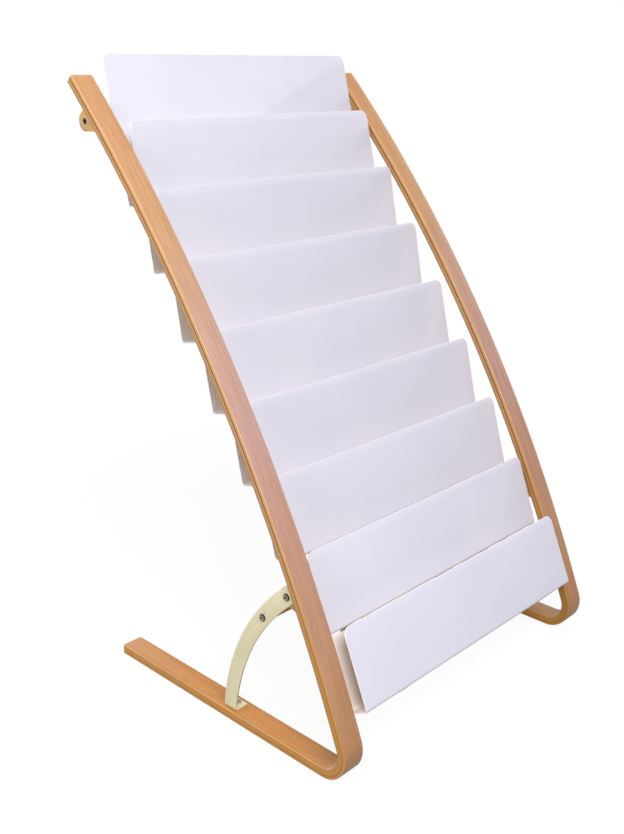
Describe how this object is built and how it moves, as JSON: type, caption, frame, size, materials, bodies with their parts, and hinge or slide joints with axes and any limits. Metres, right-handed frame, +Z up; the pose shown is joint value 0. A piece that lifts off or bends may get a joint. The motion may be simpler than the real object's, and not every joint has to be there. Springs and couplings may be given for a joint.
{
  "type": "periodical display rack",
  "caption": "Free-standing periodical display rack: two bent laminated wood side frames carry stepped sheet-steel trays, braced behind by curved flat-steel struts.",
  "frame": {"origin": "middle of the rack's footprint box, on the floor", "axes": "+Z up, the trays face -Y, +X to the right when looking along +Y"},
  "size_m": [0.91, 0.8343, 1.4293],
  "materials": {
    "laminated_beech": "clear satin lacquer on bent beech laminate",
    "solid_beech": "clear satin lacquer on solid beech",
    "white_lacquer": "fine satin off-white powder coat",
    "cream_lacquer": "satin cream powder coat",
    "zinc_steel": "zinc plated",
    "blackened_steel": "black oxide"
  },
  "bodies": {
    "root": {"left_side_frame": "laminated_beech", "left_upper_lug": "solid_beech", "left_lower_lug": "solid_beech", "left_brace": "cream_lacquer", "left_tray_carrier": "cream_lacquer", "left_carrier_tabs": "cream_lacquer", "right_side_frame": "laminated_beech", "right_upper_lug": "solid_beech", "right_lower_lug": "solid_beech", "right_brace": "cream_lacquer", "right_tray_carrier": "cream_lacquer", "right_carrier_tabs": "cream_lacquer", "upper_cross_tube": "cream_lacquer", "lower_cross_rail": "solid_beech", "tray_1": "white_lacquer", "tray_2": "white_lacquer", "tray_3": "white_lacquer", "tray_4": "white_lacquer", "tray_5": "white_lacquer", "tray_6": "white_lacquer", "tray_7": "white_lacquer", "tray_8": "white_lacquer", "upper_lug_bolts": "blackened_steel", "upper_lug_bushes": "zinc_steel", "tube_end_inserts": "zinc_steel", "lower_lug_screws": "blackened_steel", "cross_rail_screws": "blackened_steel", "brace_foot_screws": "zinc_steel", "carrier_rail_screws": "zinc_steel"}
  },
  "joints": []
}
